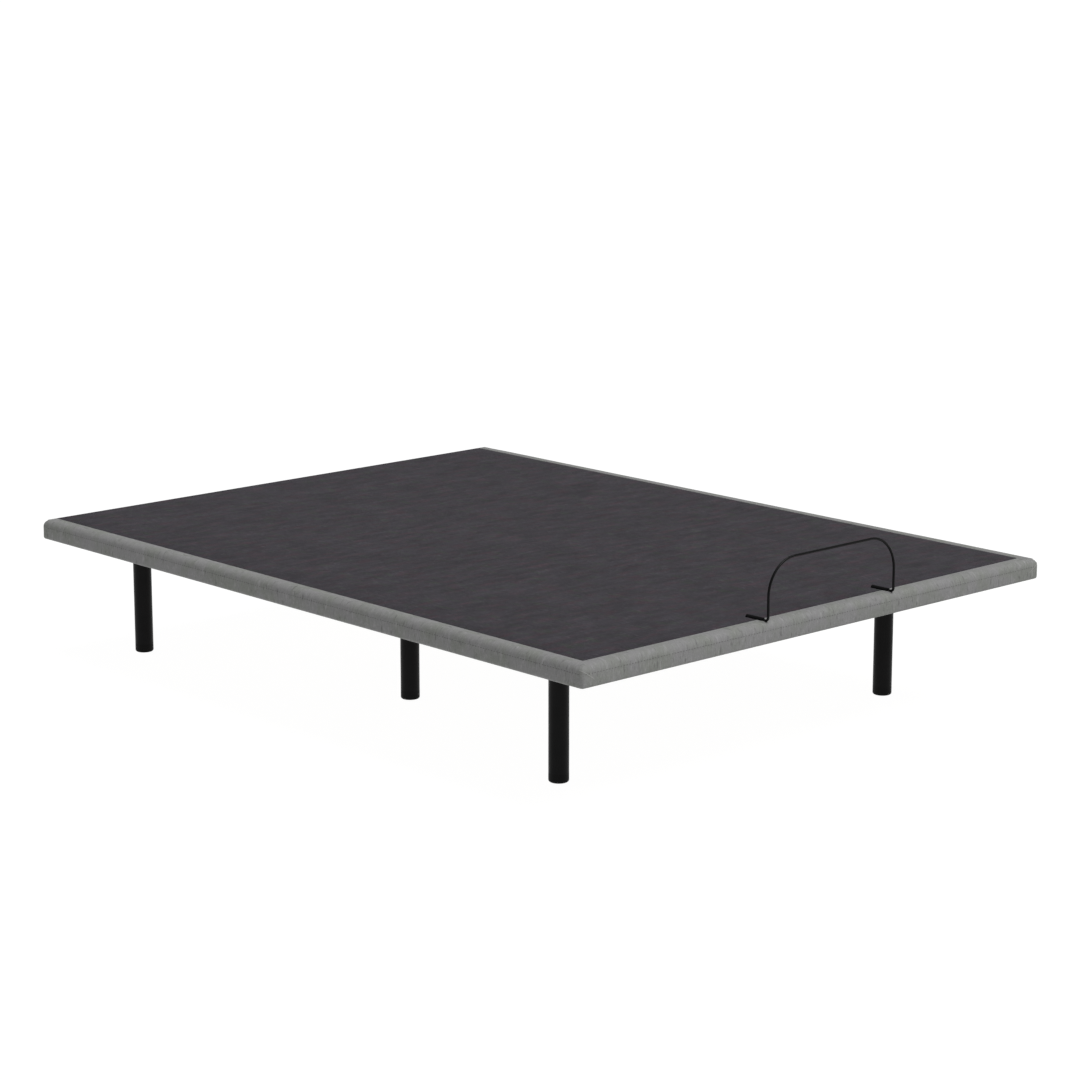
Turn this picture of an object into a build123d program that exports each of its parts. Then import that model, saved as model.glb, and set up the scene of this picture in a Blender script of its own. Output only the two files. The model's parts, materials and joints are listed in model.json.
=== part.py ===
from build123d import *
from math import cos, pi, radians, sin, sqrt, tan
import os

os.makedirs("parts", exist_ok=True)

# Adjustable bed base. Millimetres, +Z up, the origin on the floor under the middle of the deck.
# The head end is at +Y and the foot end at -Y. The back panel lifts, and the thigh panel lifts
# the calf panel, which stays level on two link arms.

# ---- overall sizes
deck_width = 1524.0
deck_length = 2020.0
deck_height = 361.5

# ---- deck build-up
board_thickness = 15.0
pad_thickness = 35.0
board_inset = 6.0
pad_edge_radius = 17.5
corner_radius = 10.0
board_top = deck_height - pad_thickness
board_bottom = board_top - board_thickness

# ---- fold lines along Y, and the height of their pivots
back_line = 235.0
thigh_line = 0.0
knee_line = -420.0
pivot_depth = 30.0
pivot_z = deck_height - pivot_depth

# ---- how far each fold moves, in degrees
back_travel = 60.0
thigh_travel = 35.0

# ---- gaps between panels at the folds. At the knee the undersides close on the hinge arms.
fold_clearance = 0.7
ear_radius = 9.5
back_pad_gap = pivot_depth * tan(radians(back_travel / 2)) + fold_clearance
thigh_pad_gap = ear_radius + 1.0
fold_board_gap = 15.0
knee_reach = (ear_radius + fold_clearance) / cos(radians(thigh_travel))
knee_slope = tan(radians(thigh_travel))
knee_pad_gap = knee_reach + (pad_thickness - pivot_depth) * knee_slope
knee_board_gap = knee_reach + (pad_thickness + board_thickness - pivot_depth) * knee_slope

# ---- base frame
leg_side_inset = 215.4
leg_foot_inset = 302.3
leg_head_inset = 131.8
leg_x = deck_width / 2 - leg_side_inset
leg_y_foot = leg_foot_inset - deck_length / 2
leg_y_head = deck_length / 2 - leg_head_inset
leg_radius = 23.4
middle_leg_x = 337.0
middle_leg_y = 52.6
rail_size = 30.0
rail_wall = 1.5
rail_overhang = 52.0
bumper_height = 4.5
bumper_gap = 0.5
rail_top = board_bottom - bumper_height - bumper_gap
rail_bottom = rail_top - rail_size
cross_width = 40.0
cross_height = 25.0
cross_wall = 1.5
cross_bottom = rail_bottom - cross_height
cross_half_length = leg_x + rail_size / 2
leg_wall = 2.0
leg_plate = 6.0
glide_height = 22.0
glide_edge = 5.0
stud_radius = 5.0
weld_nut_height = 8.0
hole_clearance = 0.1

# ---- panel frames
frame_tube = 25.0
frame_wall = 1.5
frame_side_gap = 76.6
frame_x = leg_x - frame_side_gap
knee_side_clearance = 2.0
calf_frame_x = frame_x - knee_side_clearance
frame_bottom = board_bottom - frame_tube
frame_end_gap = 20.0
frame_inset = 90.0

# ---- hinges and link arms
plate = 5.0
pin_radius = 5.0
running_clearance = 0.05
washer_gap = 1.5
arm_reach = 90.0
knee_tube_offset = 62.5
link_length = thigh_line - knee_line
link_end_inset = 50.0
link_pivot_y = link_length + link_end_inset + frame_inset - deck_length / 2
link_pivot_lift = 7.5
link_pivot_z = frame_bottom + link_pivot_lift
link_plate = 6.0
link_radius = 12.0
link_side_gap = 33.0
link_inner_x = frame_x + link_side_gap
open_pivot_clearance = 0.3
link_rod_radius = 8.0
link_rod_drop = 24.0

# ---- push levers and actuators
lever_drop = 105.0
push_z = pivot_z - lever_drop
lever_thickness = 8.0
lever_half_width = 20.0
lever_cheek = 5.0
lever_reach = 132.0
lever_root = pivot_z - frame_bottom
lever_tube_near = 27.0
contact_clearance = 0.4
roller_radius = 12.0
roller_width = 24.0
roller_pin_radius = 4.0
fork_depth = 30.0
fork_ear = 5.0
actuator_x = 150.0
head_motor_y = -300.0
foot_motor_y = 420.0
outer_tube_radius = 14.0
outer_tube_wall = 2.0
push_tube_radius = 10.5
push_tube_wall = 2.0
push_tube_length = 230.0
bush_length = 20.0
tube_setback = 36.0
gearbox_half_width = 35.0
gearbox_length = 70.0
gearbox_height = 60.0
motor_radius = 24.0
motor_length = 105.0
motor_bolt_radius = 4.0
motor_bolt_offset = 25.0

# ---- retainer bar at the foot end
retainer_rod_radius = 3.0
retainer_spacing = 421.5
retainer_center_x = 20.6
retainer_inset = 5.0
retainer_rise = 140.5
retainer_corner = 82.0
retainer_foot_bend = 9.0
retainer_foot_length = 65.0
socket_length = 50.0
socket_radius = 5.5
socket_sink = 4.6
socket_stud_radius = 3.0

half_length = deck_length / 2
hung = (Align.CENTER, Align.CENTER, Align.MAX)
standing = (Align.CENTER, Align.CENTER, Align.MIN)


def save(builder, label):
    builder.part.label = label
    export_step(builder.part, f"parts/{label}.step")


def along_y(x, y, z):
    return Plane(origin=(x, y, z), x_dir=(1, 0, 0), z_dir=(0, 1, 0))


def along_x(x, y, z):
    return Plane(origin=(x, y, z), x_dir=(0, 1, 0), z_dir=(1, 0, 0))


# ================================================================ deck panels
# Each panel is a plywood board with a foam pad on it, and the fabric goes over both.
panels = {
    "back": (back_line, half_length),
    "seat": (thigh_line, back_line),
    "thigh": (knee_line, thigh_line),
    "calf": (-half_length, knee_line),
}
pad_gaps = {back_line: back_pad_gap, thigh_line: thigh_pad_gap, knee_line: knee_pad_gap}
board_gaps = {back_line: fold_board_gap, thigh_line: fold_board_gap, knee_line: knee_board_gap}
screw_radius = 3.0
screw_head_radius = 5.5
countersink = 82.0
screw_head_height = (screw_head_radius - screw_radius) / tan(radians(countersink / 2))
screw_length = 24.0
screw_margin = 110.0
screw_x = {"back": frame_x, "seat": leg_x, "thigh": frame_x, "calf": calf_frame_x}


def screw_places(panel):
    """Two rows of screws, over the side tubes of the panel's frame."""
    start, end = panels[panel]
    margin = min(screw_margin, (end - start) / 3)
    rows = (start + margin, (start + end) / 2, end - margin)
    return [(side * screw_x[panel], y, board_top) for side in (-1, 1) for y in rows]


def stretch(panel, gaps, outer_inset):
    """The panel's start and end along Y, after the gaps at its folds."""
    start, end = panels[panel]
    start = start + gaps.get(start, outer_inset)
    end = end - gaps.get(end, outer_inset)
    return start, end


socket_x = [retainer_center_x + side * retainer_spacing / 2 for side in (-1, 1)]
retainer_y = -half_length + retainer_inset
socket_inner_y = retainer_y + retainer_foot_length
socket_axis_z = deck_height + socket_radius - socket_sink
socket_stud_y = socket_inner_y - socket_length / 2

for panel in panels:
    start, end = stretch(panel, board_gaps, board_inset)
    with BuildPart() as board:
        with BuildSketch(Plane.XY.offset(board_bottom)):
            with Locations((0, (start + end) / 2)):
                Rectangle(deck_width - 2 * board_inset, end - start)
        extrude(amount=board_thickness)
        if panel in ("back", "calf"):
            outer_end = -1 if panel == "back" else 0
            fillet(board.edges().filter_by(Axis.Z).group_by(Axis.Y)[outer_end], corner_radius - board_inset)
        with Locations(*screw_places(panel)):
            CounterSinkHole(
                screw_radius + hole_clearance,
                screw_head_radius + hole_clearance,
                counter_sink_angle=countersink,
            )
        if panel == "calf":
            with Locations(*[(x, socket_stud_y, board_top) for x in socket_x]):
                Hole(socket_stud_radius + hole_clearance)
    save(board, f"{panel}_board")

    start, end = stretch(panel, pad_gaps, 0)
    with BuildPart() as pad:
        with BuildSketch(Plane.XY.offset(board_top)):
            with Locations((0, (start + end) / 2)):
                Rectangle(deck_width, end - start)
        extrude(amount=pad_thickness)
        top_edges = pad.faces().sort_by(Axis.Z)[-1].edges().filter_by(Axis.Y)
        if panel in ("back", "calf"):
            outer_end = -1 if panel == "back" else 0
            fillet(pad.edges().filter_by(Axis.Z).group_by(Axis.Y)[outer_end], corner_radius)
            by_y = pad.faces().sort_by(Axis.Z)[-1].edges().sort_by(Axis.Y)
            top_edges = by_y[1:] if panel == "back" else by_y[:-1]
        fillet(top_edges, pad_edge_radius)
        if panel == "calf":
            with BuildSketch(along_y(0, retainer_y, socket_axis_z)):
                with Locations(*[(x, 0) for x in socket_x]):
                    Circle(socket_radius + hole_clearance)
            extrude(amount=retainer_foot_length + hole_clearance, mode=Mode.SUBTRACT)
            with Locations(*[(x, socket_stud_y, deck_height) for x in socket_x]):
                Hole(socket_stud_radius + hole_clearance)
    save(pad, f"{panel}_pad")

    with BuildPart() as screws:
        with Locations(*screw_places(panel)):
            Cone(screw_radius, screw_head_radius, screw_head_height, align=hung)
            Cylinder(screw_radius, screw_length, align=hung)
    save(screws, f"{panel}_screws")

# ================================================================ base frame
rail_start = leg_y_foot - rail_overhang
rail_end = leg_y_head + rail_overhang
bumper_radius = 9.0
bumper_crown = 1.5
bumper_end = 40.0
bumper_fold = 90.0
bumper_thigh = 70.0
bumper_rows = (
    rail_start + bumper_end,
    knee_line - bumper_fold,
    knee_line + bumper_fold,
    thigh_line - bumper_thigh,
    back_line + bumper_fold,
    rail_end - bumper_end,
)
bumper_places = [(side * leg_x, y, rail_top) for side in (-1, 1) for y in bumper_rows]
nut_ratio = 1.9

with BuildPart() as rails:
    with BuildSketch(along_y(0, rail_start, rail_bottom + rail_size / 2)):
        with Locations((-leg_x, 0), (leg_x, 0)):
            Rectangle(rail_size, rail_size)
            Rectangle(rail_size - 2 * rail_wall, rail_size - 2 * rail_wall, mode=Mode.SUBTRACT)
    extrude(amount=rail_end - rail_start)
    with Locations(*[place[:2] + (rail_top,) for place in screw_places("seat")]):
        Hole(screw_radius + hole_clearance, 2 * rail_wall)
    for side in (-1, 1):
        with BuildSketch(along_x(side * (leg_x - rail_size / 2), link_pivot_y, link_pivot_z)):
            Circle(pin_radius + hole_clearance)
        extrude(amount=side * rail_wall, mode=Mode.SUBTRACT)
save(rails, "side_rails")

cross_places = {
    "leg_cross_tubes": [leg_y_foot, middle_leg_y, leg_y_head],
    "motor_cross_tubes": [head_motor_y, foot_motor_y],
}
leg_places = [(side * leg_x, y) for y in (leg_y_foot, leg_y_head) for side in (-1, 1)]
leg_places += [(side * middle_leg_x, middle_leg_y) for side in (-1, 1)]
motor_bolt_places = [
    (side * actuator_x + offset, y)
    for side, y in ((1, head_motor_y), (-1, foot_motor_y))
    for offset in (-motor_bolt_offset, motor_bolt_offset)
]
for name, places in cross_places.items():
    if name == "motor_cross_tubes":
        nut_places, nut_radius = motor_bolt_places, motor_bolt_radius
    else:
        nut_places, nut_radius = leg_places, stud_radius
    with BuildPart() as cross:
        for y in places:
            with BuildSketch(along_x(-cross_half_length, y, cross_bottom + cross_height / 2)):
                Rectangle(cross_width, cross_height)
                Rectangle(cross_width - 2 * cross_wall, cross_height - 2 * cross_wall, mode=Mode.SUBTRACT)
            extrude(amount=2 * cross_half_length)
        with BuildSketch(Plane.XY.offset(cross_bottom)):
            with Locations(*nut_places):
                RegularPolygon(nut_radius * nut_ratio, 6)
        extrude(amount=cross_wall + weld_nut_height)
        with BuildSketch(Plane.XY.offset(cross_bottom)):
            with Locations(*nut_places):
                Circle(nut_radius + hole_clearance)
        extrude(amount=cross_wall + weld_nut_height, mode=Mode.SUBTRACT)
    save(cross, name)

stud_end_gap = 2.0
cap_lip = 2.0
cap_depth = 12.0
cross_cap_depth = 5.0
cap_fit = 2 * hole_clearance
rail_bore = rail_size - 2 * rail_wall - cap_fit
cross_bore = (cross_width - 2 * cross_wall - cap_fit, cross_height - 2 * cross_wall - cap_fit)
with BuildPart() as caps:
    for side in (-1, 1):
        for y, outward in ((rail_start, -1), (rail_end, 1)):
            with BuildSketch(along_y(side * leg_x, y, rail_bottom + rail_size / 2)):
                Rectangle(rail_size, rail_size)
            extrude(amount=outward * cap_lip)
            with BuildSketch(along_y(side * leg_x, y, rail_bottom + rail_size / 2)):
                Rectangle(rail_bore, rail_bore)
            extrude(amount=-outward * cap_depth)
        for y in (leg_y_foot, head_motor_y, middle_leg_y, foot_motor_y, leg_y_head):
            with BuildSketch(along_x(side * cross_half_length, y, cross_bottom + cross_height / 2)):
                Rectangle(cross_width, cross_height)
            extrude(amount=side * cap_lip)
            with BuildSketch(along_x(side * cross_half_length, y, cross_bottom + cross_height / 2)):
                Rectangle(*cross_bore)
            extrude(amount=-side * cross_cap_depth)
save(caps, "tube_end_caps")

# ---- legs: a tube with a top plate, a plastic glide below and a stud that screws into the cross tube
for name, places in (("corner_legs", leg_places[:4]), ("middle_legs", leg_places[4:])):
    with BuildPart() as legs:
        with BuildSketch(Plane.XY.offset(glide_height)):
            with Locations(*places):
                Circle(leg_radius)
                Circle(leg_radius - leg_wall, mode=Mode.SUBTRACT)
        extrude(amount=cross_bottom - glide_height)
        with BuildSketch(Plane.XY.offset(cross_bottom - leg_plate)):
            with Locations(*places):
                Circle(leg_radius)
                Circle(stud_radius + hole_clearance, mode=Mode.SUBTRACT)
        extrude(amount=leg_plate)
    save(legs, name)

with BuildPart() as glides:
    with BuildSketch(Plane.XY):
        with Locations(*leg_places):
            Circle(leg_radius)
    extrude(amount=glide_height)
    fillet(glides.edges().group_by(Axis.Z)[0], glide_edge)
    with BuildSketch(Plane.XY.offset(glide_height)):
        with Locations(*leg_places):
            Circle(leg_radius - leg_wall - hole_clearance)
    extrude(amount=cap_depth)
save(glides, "leg_glides")

with BuildPart() as studs:
    with BuildSketch(Plane.XY.offset(cross_bottom - leg_plate - weld_nut_height)):
        with Locations(*leg_places):
            RegularPolygon(stud_radius * nut_ratio, 6)
    extrude(amount=weld_nut_height)
    with BuildSketch(Plane.XY.offset(cross_bottom - leg_plate)):
        with Locations(*leg_places):
            Circle(stud_radius)
    extrude(amount=leg_plate + cross_height - cross_wall - stud_end_gap)
save(studs, "leg_studs")

with BuildPart() as bumpers:
    with Locations(*bumper_places):
        Cylinder(bumper_radius, bumper_height, align=standing)
    fillet(bumpers.edges().group_by(Axis.Z)[-1], bumper_crown)
save(bumpers, "deck_bumpers")


# ================================================================ panel frames
def frame_tubes_along(x, start, end, screw_points):
    """A left and a right side tube of a panel's frame, with screw holes in their top walls."""
    with BuildPart() as tubes:
        for side in (-1, 1):
            with BuildSketch(along_y(side * x, start, frame_bottom + frame_tube / 2)):
                Rectangle(frame_tube, frame_tube)
                Rectangle(frame_tube - 2 * frame_wall, frame_tube - 2 * frame_wall, mode=Mode.SUBTRACT)
            extrude(amount=end - start)
        with Locations(*[place[:2] + (board_bottom,) for place in screw_points]):
            Hole(screw_radius + hole_clearance, 2 * frame_wall)
    return tubes


def frame_tubes_across(x, centers):
    """Cross tubes between the side tubes of a panel's frame."""
    half = x - frame_tube / 2
    with BuildPart() as tubes:
        for y in centers:
            with BuildSketch(along_x(-half, y, frame_bottom + frame_tube / 2)):
                Rectangle(frame_tube, frame_tube)
                Rectangle(frame_tube - 2 * frame_wall, frame_tube - 2 * frame_wall, mode=Mode.SUBTRACT)
            extrude(amount=2 * half)
    return tubes


def hinge_arms(inner_x, folds):
    """L-shaped plates: an eye at the pivot, a leg down through the gap and a foot along the tube.

    Their inner faces are at inner_x on both sides. folds is (line, direction) pairs.
    """
    foot = arm_reach + ear_radius
    foot_center = frame_bottom + frame_tube / 2 - pivot_z
    with BuildPart() as arms:
        for line, direction in folds:
            for side in (-1, 1):
                with BuildSketch(along_x(side * inner_x, line, pivot_z)):
                    Circle(ear_radius)
                    with Locations((0, -(pivot_z - frame_bottom) / 2)):
                        Rectangle(2 * ear_radius, pivot_z - frame_bottom)
                    with Locations((direction * (foot / 2 - ear_radius), foot_center)):
                        Rectangle(foot, frame_tube)
                    Circle(pin_radius + running_clearance, mode=Mode.SUBTRACT)
                extrude(amount=side * plate)
    return arms


def push_lever(x, line, direction, half_travel, slack):
    """A welded lever that hangs from a panel's cross tube, with a flat face for the roller."""
    turn = radians(half_travel)

    def place(reach, offset):
        along = -reach * sin(turn) + offset * cos(turn)
        down = -reach * cos(turn) - offset * sin(turn)
        return direction * along, down

    face = roller_radius + slack
    back = face + lever_thickness
    near = direction * lever_tube_near
    far = direction * (lever_tube_near + frame_tube)
    root = frame_bottom - pivot_z
    outline = [
        place(lever_reach, face),
        place(lever_reach, back),
        (far, root - frame_tube),
        (far, root),
        (near, root),
        place(lever_root, face),
    ]
    with BuildPart() as lever:
        for side in (-1, 1):
            with BuildSketch(along_x(x + side * lever_half_width, line, pivot_z)):
                Polygon(*outline, align=None)
            extrude(amount=-side * lever_cheek)
        with BuildSketch(along_x(x - lever_half_width, line, pivot_z)):
            Polygon(place(lever_reach, face), place(lever_reach, back), place(lever_root, back),
                    place(lever_root, face), align=None)
        extrude(amount=2 * lever_half_width)
    return lever


def travel_slack(half_travel):
    """Room for the small difference between a straight push and the lever's turn."""
    turn = radians(half_travel)
    return lever_drop * (tan(turn) / sqrt(3) - tan(turn / sqrt(3))) + contact_clearance


lever_tube_center = lever_tube_near + frame_tube / 2
back_half = back_travel / 2
thigh_half = thigh_travel / 2
frame_end = half_length - frame_inset

back_start = back_line + frame_end_gap
save(frame_tubes_along(frame_x, back_start, frame_end, screw_places("back")), "back_side_tubes")
back_cross = (back_line + lever_tube_center, (back_line + frame_end) / 2, frame_end - frame_tube / 2)
save(frame_tubes_across(frame_x, back_cross), "back_cross_tubes")
save(hinge_arms(frame_x + frame_tube / 2, [(back_line, 1)]), "back_hinge_arms")
save(push_lever(actuator_x, back_line, 1, back_half, travel_slack(back_half)), "back_lever")

thigh_start = knee_line + frame_end_gap
thigh_end = thigh_line - frame_end_gap
save(frame_tubes_along(frame_x, thigh_start, thigh_end, screw_places("thigh")), "thigh_side_tubes")
thigh_cross = (thigh_line - lever_tube_center, knee_line + knee_tube_offset)
save(frame_tubes_across(frame_x, thigh_cross), "thigh_cross_tubes")
save(hinge_arms(frame_x + frame_tube / 2, [(thigh_line, -1), (knee_line, 1)]), "thigh_hinge_arms")
save(push_lever(-actuator_x, thigh_line, -1, thigh_half, travel_slack(thigh_half)), "thigh_lever")

calf_end = knee_line - frame_end_gap
save(frame_tubes_along(calf_frame_x, -frame_end, calf_end, screw_places("calf")), "calf_side_tubes")
calf_cross = (knee_line - arm_reach - frame_tube, -frame_end + frame_tube * 1.5)
save(frame_tubes_across(calf_frame_x, calf_cross), "calf_cross_tubes")
save(hinge_arms(calf_frame_x - frame_tube / 2 - plate, [(knee_line, -1)]), "calf_hinge_arms")

# ---- brackets on the side rails that hold the back and thigh pivots
rail_inner = leg_x - rail_size / 2
bracket_inner = frame_x + frame_tube / 2 + plate + washer_gap
bracket_lift = 3.5
bracket_bottom = rail_bottom + bracket_lift
bracket_half_foot = 25.0
with BuildPart() as brackets:
    for line in (back_line, thigh_line):
        for side in (-1, 1):
            with BuildSketch(along_x(side * bracket_inner, line, pivot_z)):
                Circle(ear_radius)
                with Locations((0, (bracket_bottom - pivot_z) / 2)):
                    Rectangle(2 * ear_radius, pivot_z - bracket_bottom)
                Circle(pin_radius + hole_clearance, mode=Mode.SUBTRACT)
            extrude(amount=side * plate)
            with BuildSketch(Plane.XY.offset(bracket_bottom)):
                with Locations((side * (bracket_inner + rail_inner) / 2, line)):
                    Rectangle(rail_inner - bracket_inner, 2 * bracket_half_foot)
            extrude(amount=plate)
save(brackets, "seat_hinge_brackets")

pin_head_radius = 8.0
pin_head = 3.0
pin_end = 2.0


def pins(places, inner_x, outer_x):
    """Headed pins along X on both sides, from inner_x to outer_x. The head is at the inner end."""
    with BuildPart() as group:
        for y, z in places:
            for side in (-1, 1):
                with BuildSketch(along_x(side * inner_x, y, z)):
                    Circle(pin_radius)
                extrude(amount=side * (outer_x - inner_x))
                with BuildSketch(along_x(side * inner_x, y, z)):
                    Circle(pin_head_radius)
                extrude(amount=-side * pin_head)
    return group


arm_inner = frame_x + frame_tube / 2
hinge_places = [(back_line, pivot_z), (thigh_line, pivot_z)]
save(pins(hinge_places, arm_inner - washer_gap, bracket_inner + plate + pin_end), "seat_hinge_pins")
knee_arm_inner = calf_frame_x - frame_tube / 2 - plate
knee_pin_end = arm_inner + plate + pin_end
save(pins([(knee_line, pivot_z)], knee_arm_inner - washer_gap, knee_pin_end), "knee_pins")
link_outer_x = link_inner_x + link_plate
link_spacer_radius = 7.0
link_base_pin = link_inner_x - washer_gap
save(pins([(link_pivot_y, link_pivot_z)], link_base_pin, rail_inner + rail_wall), "link_pivot_pins")

link_end_y = link_pivot_y - link_length
with BuildPart() as calf_link_pins:
    for side in (-1, 1):
        calf_tube_outer = calf_frame_x + frame_tube / 2
        with BuildSketch(along_x(side * calf_tube_outer, link_end_y, link_pivot_z)):
            Circle(pin_radius)
        extrude(amount=side * (link_outer_x + washer_gap - calf_tube_outer))
        with BuildSketch(along_x(side * calf_tube_outer, link_end_y, link_pivot_z)):
            Circle(link_spacer_radius)
        extrude(amount=side * (link_inner_x - washer_gap - calf_tube_outer))
        with BuildSketch(along_x(side * (link_outer_x + washer_gap), link_end_y, link_pivot_z)):
            Circle(pin_head_radius)
        extrude(amount=side * pin_head)
save(calf_link_pins, "calf_link_pins")

with BuildPart() as link_arms:
    for side in (-1, 1):
        with BuildSketch(along_x(side * link_inner_x, link_pivot_y, link_pivot_z)):
            with Locations((-link_length / 2, 0)):
                Rectangle(link_length, 2 * link_radius)
            with Locations((0, 0), (-link_length, 0), (-link_length / 2, -link_rod_drop)):
                Circle(link_radius)
            with Locations((-link_length / 2, -link_rod_drop / 2)):
                Rectangle(2 * link_radius, link_rod_drop)
            with Locations((0, 0)):
                Circle(pin_radius + running_clearance, mode=Mode.SUBTRACT)
            with Locations((-link_length, 0)):
                Circle(pin_radius + open_pivot_clearance, mode=Mode.SUBTRACT)
        extrude(amount=side * link_plate)
save(link_arms, "link_arms")

with BuildPart() as link_rod:
    rod_y = link_pivot_y - link_length / 2
    with BuildSketch(along_x(-link_inner_x, rod_y, link_pivot_z - link_rod_drop)):
        Circle(link_rod_radius)
        Circle(link_rod_radius - frame_wall, mode=Mode.SUBTRACT)
    extrude(amount=2 * link_inner_x)
save(link_rod, "link_cross_rod")

# ================================================================ actuators
# Each actuator is bolted under a cross tube and pushes a roller against a panel's lever.
tube_hanger_half = 30.0
tube_hanger_margin = 8.0
actuators = {
    "head": (actuator_x, back_line, 1, back_half, head_motor_y),
    "foot": (-actuator_x, thigh_line, -1, thigh_half, foot_motor_y),
}
gearbox_top = cross_bottom
gearbox_bottom = gearbox_top - gearbox_height
gearbox_corner = 8.0
gearbox_edge = 3.0
collar_wall = 5.0
collar_length = 12.0
motor_lift = 4.0
motor_z = gearbox_bottom + motor_radius + motor_lift
vertical_center = (gearbox_top + gearbox_bottom) / 2
motor_boss = 10.0
motor_boss_radius = 20.0
motor_edge = 3.0
motor_bearing_radius = 9.0
motor_bearing = 5.0
fork_back = 7.0
fork_cheek_margin = 3.0
fork_cheek_radius = roller_radius - fork_cheek_margin
fork_side_gap = 1.0
roller_pin_end = 1.5
bolt_head_ratio = 1.8
bolt_head = 6.0
hanger_corner = 6.0

for name, (x, line, direction, half_travel, motor_y) in actuators.items():
    roller_y = line - direction * lever_drop * tan(radians(half_travel))
    gearbox_face = motor_y + direction * gearbox_length / 2
    tube_end = roller_y - direction * tube_setback
    tube_length = abs(tube_end - gearbox_face)
    inward = -1 if x > 0 else 1
    fork_half = roller_width / 2 + fork_side_gap + fork_ear

    with BuildPart() as gearbox:
        with BuildSketch(along_x(x - gearbox_half_width, motor_y, vertical_center)):
            RectangleRounded(gearbox_length, gearbox_height, gearbox_corner)
        extrude(amount=2 * gearbox_half_width)
        fillet(gearbox.faces().filter_by(Axis.X).edges(), gearbox_edge)
        with BuildSketch(along_y(x, gearbox_face, push_z)):
            Circle(outer_tube_radius + collar_wall)
            Circle(outer_tube_radius + hole_clearance, mode=Mode.SUBTRACT)
        extrude(amount=direction * collar_length)
        with Locations(*[(x + side * motor_bolt_offset, motor_y, gearbox_top) for side in (-1, 1)]):
            Hole(motor_bolt_radius + hole_clearance)
        with BuildSketch(along_x(x + inward * gearbox_half_width, motor_y, motor_z)):
            Circle(motor_boss_radius)
        extrude(amount=inward * motor_boss)
    save(gearbox, f"{name}_gearbox")

    motor_start = x + inward * (gearbox_half_width + motor_boss)
    with BuildPart() as motor:
        with BuildSketch(along_x(motor_start, motor_y, motor_z)):
            Circle(motor_radius)
        extrude(amount=inward * motor_length)
        fillet(motor.edges().group_by(Axis.X)[0], motor_edge)
        fillet(motor.edges().group_by(Axis.X)[-1], motor_edge)
        with BuildSketch(along_x(motor_start + inward * motor_length, motor_y, motor_z)):
            Circle(motor_bearing_radius)
        extrude(amount=inward * motor_bearing)
    save(motor, f"{name}_motor")

    with BuildPart() as outer_tube:
        with BuildSketch(along_y(x, gearbox_face, push_z)):
            Circle(outer_tube_radius)
            Circle(outer_tube_radius - outer_tube_wall, mode=Mode.SUBTRACT)
        extrude(amount=direction * tube_length)
    save(outer_tube, f"{name}_outer_tube")

    with BuildPart() as push_rod:
        fork_y = roller_y - direction * fork_depth
        with BuildSketch(along_y(x, fork_y, push_z)):
            Circle(push_tube_radius)
            Circle(push_tube_radius - push_tube_wall, mode=Mode.SUBTRACT)
        extrude(amount=-direction * push_tube_length)
        with BuildSketch(along_y(x, fork_y, push_z)):
            RectangleRounded(2 * fork_half, 2 * push_tube_radius, gearbox_edge)
        extrude(amount=direction * fork_back)
        for side in (-1, 1):
            with BuildSketch(along_x(x + side * fork_half, roller_y, push_z)):
                Circle(fork_cheek_radius)
                with Locations((-direction * fork_depth / 2, 0)):
                    Rectangle(fork_depth, 2 * fork_cheek_radius)
                Circle(roller_pin_radius + hole_clearance, mode=Mode.SUBTRACT)
            extrude(amount=-side * fork_ear)
    save(push_rod, f"{name}_push_rod")

    with BuildPart() as roller:
        with BuildSketch(along_x(x - roller_width / 2, roller_y, push_z)):
            Circle(roller_radius)
            Circle(roller_pin_radius + running_clearance, mode=Mode.SUBTRACT)
        extrude(amount=roller_width)
    save(roller, f"{name}_roller")

    with BuildPart() as roller_pin:
        with BuildSketch(along_x(x - fork_half - roller_pin_end, roller_y, push_z)):
            Circle(roller_pin_radius)
        extrude(amount=2 * (fork_half + roller_pin_end))
    save(roller_pin, f"{name}_roller_pin")

with BuildPart() as bushes:
    for x, line, direction, half_travel, motor_y in actuators.values():
        tube_end = line - direction * (lever_drop * tan(radians(half_travel)) + tube_setback)
        with BuildSketch(along_y(x, tube_end, push_z)):
            Circle(outer_tube_radius - outer_tube_wall)
            Circle(push_tube_radius + running_clearance, mode=Mode.SUBTRACT)
        extrude(amount=-direction * bush_length)
save(bushes, "guide_bushes")

hanger_y = middle_leg_y + cross_width / 2
with BuildPart() as hangers:
    for x in (-actuator_x, actuator_x):
        hanger_bottom = push_z - outer_tube_radius - tube_hanger_margin
        hanger_top = rail_bottom
        with BuildSketch(along_y(x, hanger_y, (hanger_top + hanger_bottom) / 2)):
            RectangleRounded(2 * tube_hanger_half, hanger_top - hanger_bottom, hanger_corner)
        extrude(amount=plate)
        with BuildSketch(along_y(x, hanger_y, push_z)):
            Circle(outer_tube_radius + hole_clearance)
        extrude(amount=plate, mode=Mode.SUBTRACT)
save(hangers, "tube_hangers")

with BuildPart() as motor_bolts:
    bolt_grip = gearbox_height + cross_wall + weld_nut_height
    with BuildSketch(Plane.XY.offset(gearbox_bottom)):
        with Locations(*motor_bolt_places):
            Circle(motor_bolt_radius)
    extrude(amount=bolt_grip)
    with BuildSketch(Plane.XY.offset(gearbox_bottom)):
        with Locations(*motor_bolt_places):
            RegularPolygon(motor_bolt_radius * bolt_head_ratio, 6)
    extrude(amount=-bolt_head)
save(motor_bolts, "motor_bolts")

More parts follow.
